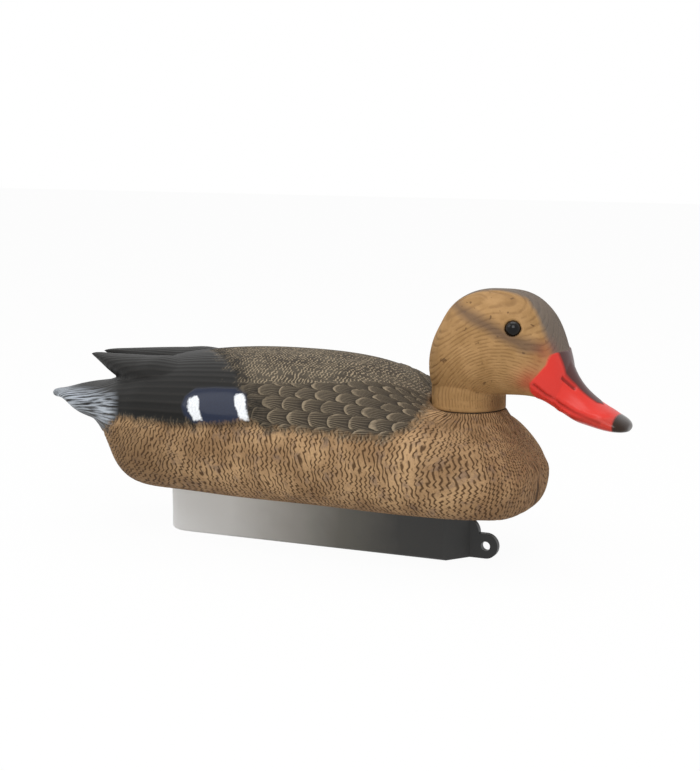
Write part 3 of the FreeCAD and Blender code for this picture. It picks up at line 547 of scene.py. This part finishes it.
culmen = np.interp(px, [150, 160, 162, 166, 172, 185, 189], [15, 14, 13, 10, 6.7, 4.6, -1]) - side
culmen = np.where(nor[:, 2] > 0.05, culmen, -6.0)
culmen = np.minimum(culmen, bill + 1.0)
crown = np.interp(px, [85, 112, 123, 134, 142, 150, 154, 158, 166],
                  [9, 6.5, 6, 9, 10.6, 14.6, 17, 18, 18]) - side
crown = np.where(nor[:, 2] + 0.6 * nor[:, 0] > 0.1, crown, -6.0)
crown = np.minimum(crown, (pz - 128) * 0.5)
band = within(px, pz, [(92, 165), (98.5, 164), (113, 159), (124, 155), (146, 145), (156.5, 142),
                       (157, 135),
                       (145, 137), (124, 147), (112, 152), (99, 159), (92, 161)])
band = np.where(side > 6, band, -6.0)
cheek = np.exp(-(np.linalg.norm(even - (150, 24, 118), axis=1) / 8.5) ** 2)
cheek += 0.55 * np.exp(-(np.linalg.norm(even - (156, 18, 135), axis=1) / 7.0) ** 2)
throat = np.exp(-(np.linalg.norm(even - (121, 9, 100), axis=1) / 9.0) ** 2)
from_throat = np.hypot(px - 130, pz - 104) + 0.7 * side
mouth = near(even, [(151, 23, 117), (157, 18, 111), (165, 14, 105), (174, 14, 100), (190, 15, 95)])
nostril = near(even, [(166, 12, 120), (168.6, 10, 117), (172, 8.5, 114)])
lid = np.linalg.norm(even - EYE, axis=1)
relief = -0.75 * np.exp(-(mouth / 0.9) ** 2) + 0.35 * np.exp(-((mouth - 2.4) / 1.3) ** 2)
relief -= 1.3 * np.exp(-(nostril / 1.5) ** 2)
relief += 0.55 * np.exp(-((lid - 6.4) / 0.9) ** 2)
relief += 0.45 * ease(bill, -0.5, 0.5)
relief += 0.35 * ease(culmen, -0.8, 0.8) * ease(bill, 0, 1)
relief *= ease(pz, 97.5, 100)
hair = ease(-bill, 0.5, 4) * ease(lid, 7.0, 9.0) * ease(pz, 97.5, 100)
nail = ease(px, 196.6, 198.2)
HEAD_LANES = ("bill", "culmen", "crown", "band", "cheek", "throat", "from_throat", "around", "hair",
              "nail",
              "relief", "nostril", "climb", "mouth")
lanes_on(mesh, {"bill": bill, "culmen": culmen, "crown": crown, "band": band, "cheek": cheek,
                "throat": throat,
                "from_throat": from_throat, "around": 24 * np.arctan2(pz - 104, px - 130) + 0.5 * side,
                "hair": hair, "nail": nail, "relief": relief, "nostril": nostril, "climb": pz,
                "mouth": mouth})


def hairs(tree, lane):
    """Fine hair grooves round the throat, 2 mm apart, that waver and fade in and out."""
    spot = add(tree, "ShaderNodeCombineXYZ", lane["from_throat"], lane["around"])
    wander = add(tree, "ShaderNodeTexNoise", named={"Vector": spot, "Scale": 0.10, "Detail": 2.0},
                 noise_dimensions="2D")
    phase = add(tree, "ShaderNodeMath", lane["from_throat"], 1 / 2.0, operation="MULTIPLY")
    phase = add(tree, "ShaderNodeMath", wander, 1.1, phase, operation="MULTIPLY_ADD")
    crest = add(tree, "ShaderNodeMath", add(tree, "ShaderNodeMath", phase, 6.2832, operation="MULTIPLY"),
                operation="SINE")
    patchy = add(tree, "ShaderNodeTexNoise", named={"Vector": spot, "Scale": 0.28, "Detail": 2.0},
                 noise_dimensions="2D")
    groove = add(tree, "ShaderNodeMapRange", crest, 0.0, 1.0)
    groove = add(tree, "ShaderNodeMath", groove, add(tree, "ShaderNodeMapRange", patchy, 0.32, 0.50),
                 operation="MULTIPLY")
    return add(tree, "ShaderNodeMath", groove, lane["hair"], operation="MULTIPLY"), spot


head_tree = bpy.data.node_groups.new("head_relief", "GeometryNodeTree")
head_tree.interface.new_socket("Geometry", in_out="INPUT", socket_type="NodeSocketGeometry")
for label, size in (("Hair depth", 0.22), ("Unit", 0.001)):
    knob = head_tree.interface.new_socket(label, in_out="INPUT", socket_type="NodeSocketFloat")
    knob.default_value = size
head_tree.interface.new_socket("Geometry", in_out="OUTPUT", socket_type="NodeSocketGeometry")
tree = head_tree
entry = tree.nodes.new("NodeGroupInput")
lane = {n: add(tree, "GeometryNodeInputNamedAttribute", named={"Name": n},
               data_type="FLOAT") for n in HEAD_LANES}
groove, spot = hairs(tree, lane)
groove = add(tree, "ShaderNodeMath", groove, entry.outputs["Hair depth"], operation="MULTIPLY")
height = add(tree, "ShaderNodeMath", lane["relief"], groove, operation="SUBTRACT")
height = add(tree, "ShaderNodeMath", height, entry.outputs["Unit"], operation="MULTIPLY")
away = add(tree, "ShaderNodeVectorMath", add(tree, "GeometryNodeInputNormal"), named={"Scale": height},
           operation="SCALE")
moved = add(tree, "GeometryNodeSetPosition", entry.outputs["Geometry"], named={"Offset": away})
head_paint, paint_tree = material("head_matt_spray_and_gloss_bill")
solid = add(tree, "GeometryNodeRealizeInstances", moved)
solid = add(tree, "GeometryNodeSetMaterial", solid, named={"Material": head_paint})
add(tree, "NodeGroupOutput", solid)
shaper = head_skin.modifiers.new("relief", "NODES")
shaper.node_group = head_tree
head_skin = finished(head_skin, "head_skin")


def ball(radius, centre, name):
    """A smooth closed ball in millimetres."""
    mesh = bpy.data.meshes.new(name)
    shape = bmesh.new()
    bmesh.ops.create_icosphere(shape, subdivisions=5, radius=radius / 1000)
    bmesh.ops.translate(shape, verts=shape.verts, vec=Vector(centre) / 1000)
    shape.to_mesh(mesh)
    shape.free()
    for face in mesh.polygons:
        face.use_smooth = True
    made = bpy.data.objects.new(name, mesh)
    scene.collection.objects.link(made)
    return made


tools = [drum(*PLUG_BORE, NECK_X, "plug_bore"), ball(SOCKET_RADIUS, EYE, "left_socket"),
         ball(SOCKET_RADIUS, (EYE[0], -EYE[1], EYE[2]), "right_socket")]
for tool in tools:
    cut = head_skin.modifiers.new(tool.name, "BOOLEAN")
    cut.operation, cut.solver, cut.object = "DIFFERENCE", "MANIFOLD", tool
head_skin = finished(head_skin, "head_skin")
for tool in tools:
    bpy.data.objects.remove(tool)
head_skin.data.materials.clear()
head_skin.data.materials.append(head_paint)
for face in head_skin.data.polygons:
    face.use_smooth = True
    face.material_index = 0

# Matt tan spray on the head, misted grey on the crown; the bill is a gloss red coat
# with a thin dark ridge and a glossy dark nail.
tree = paint_tree
lane = {n: add(tree, "ShaderNodeAttribute", attribute_name=n, out="Fac") for n in HEAD_LANES}
groove, spot = hairs(tree, lane)
place = add(tree, "ShaderNodeTexCoord", out="Object")
mist = add(tree, "ShaderNodeTexNoise", named={"Vector": place, "Scale": 90.0, "Detail": 4.0,
                                              "Roughness": 0.6})
grit = add(tree, "ShaderNodeTexNoise", named={"Vector": place, "Scale": 900.0, "Detail": 2.0})
fleck = add(tree, "ShaderNodeTexNoise", named={"Vector": place, "Scale": 260.0, "Detail": 1.0})
tan = add(tree, "ShaderNodeMix", add(tree, "ShaderNodeMapRange", mist, 0.35, 0.65),
          named={6: linear("#9c784c"), 7: linear("#b08a5c")}, data_type="RGBA", out=2)
tan = add(tree, "ShaderNodeMix", add(tree, "ShaderNodeMath", groove, 0.34, operation="MULTIPLY"),
          named={6: tan, 7: linear("#6b4c2c")}, data_type="RGBA", out=2)
tan = add(tree, "ShaderNodeMix", add(tree, "ShaderNodeMapRange", fleck, 0.70, 0.75, 0.0, 0.75),
          named={6: tan, 7: linear("#5b4128")}, data_type="RGBA", out=2)
soft = add(tree, "ShaderNodeMath", add(tree, "ShaderNodeMath", mist, 6.0, -3.0, operation="MULTIPLY_ADD"),
           lane["crown"], operation="ADD")
tan = add(tree, "ShaderNodeMix", add(tree, "ShaderNodeMapRange", soft, -2.0, 2.5, 0.0, 0.85),
          named={6: tan, 7: linear("#605c59")}, data_type="RGBA", out=2)
soft = add(tree, "ShaderNodeMath", add(tree, "ShaderNodeMath", mist, 4.0, -2.0, operation="MULTIPLY_ADD"),
           lane["band"], operation="ADD")
tan = add(tree, "ShaderNodeMix", add(tree, "ShaderNodeMapRange", soft, -2.2, 2.5, 0.0, 0.75),
          named={6: tan, 7: linear("#5d4a3e")}, data_type="RGBA", out=2)
tan = add(tree, "ShaderNodeMix", add(tree, "ShaderNodeMath", lane["throat"], 0.7, operation="MULTIPLY"),
          named={6: tan, 7: linear("#57371f")}, data_type="RGBA", out=2)
tan = add(tree, "ShaderNodeMix", add(tree, "ShaderNodeMath", lane["cheek"], 0.75, operation="MULTIPLY"),
          named={6: tan, 7: linear("#b0402e")}, data_type="RGBA", out=2)
on_bill = add(tree, "ShaderNodeMapRange", lane["bill"], -0.7, 0.6)
red = add(tree, "ShaderNodeMix", add(tree, "ShaderNodeMapRange", lane["mouth"], 1.4, 0.3, 0.0, 0.55),
          named={6: linear("#dc3a31"), 7: linear("#8e1a12")}, data_type="RGBA", out=2)
red = add(tree, "ShaderNodeMix", add(tree, "ShaderNodeMapRange", lane["culmen"], -0.9, 0.9, 0.0, 0.92),
          named={6: red, 7: linear("#2c2b2a")}, data_type="RGBA", out=2)
red = add(tree, "ShaderNodeMix", add(tree, "ShaderNodeMapRange", lane["nostril"], 1.7, 0.7, 0.0, 0.6),
          named={6: red, 7: linear("#2a1512")}, data_type="RGBA", out=2)
red = add(tree, "ShaderNodeMix", lane["nail"], named={6: red, 7: linear("#1a1210")}, data_type="RGBA",
          out=2)
coat = add(tree, "ShaderNodeMix", on_bill, named={6: tan, 7: red}, data_type="RGBA", out=2)
seam = add(tree, "ShaderNodeMapRange", lane["climb"], 98.4, 96.5, 0.0, 0.3)
coat = add(tree, "ShaderNodeMix", seam, named={6: coat, 7: linear("#4a3320")}, data_type="RGBA", out=2)
gloss = add(tree, "ShaderNodeMix", on_bill, named={2: 0.72, 3: 0.34}, data_type="FLOAT")
gloss = add(tree, "ShaderNodeMix", lane["nail"], named={2: gloss, 3: 0.15}, data_type="FLOAT")
height = add(tree, "ShaderNodeMath", groove, -0.6,
             add(tree, "ShaderNodeMath", grit, 0.35, operation="MULTIPLY"),
             operation="MULTIPLY_ADD")
height = add(tree, "ShaderNodeMix", on_bill, named={2: height, 3: add(
    tree, "ShaderNodeMath", mist, 0.3, operation="MULTIPLY")}, data_type="FLOAT")
bump = add(tree, "ShaderNodeBump", named={"Height": height, "Strength": 0.5, "Distance": 0.0005})
shell = add(tree, "ShaderNodeBsdfPrincipled", named={"Base Color": coat, "Roughness": gloss,
                                                     "Normal": bump,
                                                     "IOR": 1.5, "Specular IOR Level": 0.22})
add(tree, "ShaderNodeOutputMaterial", shell)
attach(head_skin, "head")
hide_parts("head_shell")

# ---------------------------------------------------------------- eyes
# Two polished acrylic beads, pressed and glued into round sockets in the head.
# Almost black, with a painted brown rim light, lighter where the bead is seen edge-on.
bead_paint, tree = material("acrylic_polished_black")
# Painted light: the bead's colour turns brown towards its edge as seen from the view, a painted rim
# light.
rim = add(tree, "ShaderNodeLayerWeight", 0.35, out="Facing")
colour = add(tree, "ShaderNodeMix", rim, named={6: linear("#090807"), 7: linear("#1d140f")},
             data_type="RGBA", out=2)
bead = add(tree, "ShaderNodeBsdfPrincipled", named={"Base Color": colour, "Roughness": 0.07, "IOR": 1.49,
                                                    "Specular IOR Level": 0.22})
add(tree, "ShaderNodeOutputMaterial", bead)
for name, way in (("left_eye", 1), ("right_eye", -1)):
    eye = ball(BEAD_RADIUS, (EYE[0], way * EYE[1], EYE[2]), name + "_bead")
    eye.data.materials.append(bead_paint)
    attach(eye, "head")
    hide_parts(name)

# ---------------------------------------------------------------- keel
# A hollow moulded keel filled with sand and screwed under the float. The keel is black;
# its colour is painted fading from black at the line tab to a pale grey, almost white, painted wash at
# the tail end, kept light against the shade under the float.
keel_black_with_painted_light, tree = material("polyethylene_black_painted_pale_wash")
place = add(tree, "ShaderNodeTexCoord", out="Object")
cut_x = tree.nodes.new("ShaderNodeSeparateXYZ")
tree.links.new(place, cut_x.inputs[0])
mist = add(tree, "ShaderNodeTexNoise", named={"Vector": place, "Scale": 60.0, "Detail": 4.0})
drift = add(tree, "ShaderNodeMath", mist, 0.012, cut_x.outputs[0], operation="MULTIPLY_ADD")
share = add(tree, "ShaderNodeMapRange", drift, -0.110, 0.118, 0.0, 1.0)
ramp = tree.nodes.new("ShaderNodeValToRGB")
# Painted light: the rear stops are pale grey to almost white, brightened against the shade under the
# float, on a keel that is black.
keel_stops_with_painted_light = [(0.0, "#fafaf9"), (0.25, "#f2f2f0"), (0.42, "#c4c2bd"), (0.60, "#7a7870"), (0.78, "#353431"),
         (1.0, "#181817")]
ramp.color_ramp.elements.remove(ramp.color_ramp.elements[1])
ramp.color_ramp.elements[0].position, ramp.color_ramp.elements[0].color = keel_stops_with_painted_light[0][0], linear(keel_stops_with_painted_light[0][1])
for spot_at, code in keel_stops_with_painted_light[1:]:
    ramp.color_ramp.elements.new(spot_at).color = linear(code)
tree.links.new(share, ramp.inputs[0])
grain = add(tree, "ShaderNodeTexNoise", named={"Vector": place, "Scale": 1500.0, "Detail": 2.0})
bump = add(tree, "ShaderNodeBump", named={"Height": grain, "Strength": 0.25, "Distance": 0.0002})
shell = add(tree, "ShaderNodeBsdfPrincipled", named={"Base Color": ramp.outputs[0], "Roughness": 0.42,
                                                     "Normal": bump, "IOR": 1.5})
add(tree, "ShaderNodeOutputMaterial", shell)
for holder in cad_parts["keel_shell"].material_slots:
    holder.material = keel_black_with_painted_light

# ---------------------------------------------------------------- swivel, seal, plug, ballast and screws
# The neck turns on a moulded socket and plug with a rubber ring between them; the
# keel is closed by a push-in plug and held by three stainless cheese-head screws.
for name, nodes, colour, rough, metal, scale, depth in (
    ("acetal_moulded_black", ("neck_socket", "neck_plug"), ("#1b1b1a", "#2a2a28"), 0.38, 0.0, 900.0,
     0.0001),
    ("nitrile_rubber_black", ("neck_seal_ring",), ("#141414", "#232322"), 0.62, 0.0, 700.0, 0.0001),
    ("polyethylene_plug_black", ("keel_filler_plug",), ("#2b2b29", "#3c3b38"), 0.45, 0.0, 900.0, 0.0001),
    ("quartz_sand_dry", ("keel_ballast",), ("#a48a63", "#c9b28b"), 0.9, 0.0, 1400.0, 0.0004),
    ("stainless_steel_turned", ("keel_screws",), ("#b6b5b1", "#c9c8c4"), 0.28, 1.0, 1200.0, 0.00005),
):
    made, tree = material(name)
    place = add(tree, "ShaderNodeTexCoord", out="Object")
    grain = add(tree, "ShaderNodeTexNoise", named={"Vector": place, "Scale": scale, "Detail": 3.0})
    tone = add(tree, "ShaderNodeMix", grain, named={6: linear(colour[0]), 7: linear(colour[1])},
               data_type="RGBA", out=2)
    bump = add(tree, "ShaderNodeBump", named={"Height": grain, "Strength": 0.3, "Distance": depth})
    finish = add(tree, "ShaderNodeBsdfPrincipled", named={"Base Color": tone, "Roughness": rough,
                                                          "Normal": bump,
                                                          "Metallic": metal})
    add(tree, "ShaderNodeOutputMaterial", finish)
    for node in nodes:
        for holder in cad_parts[node].material_slots:
            holder.material = made
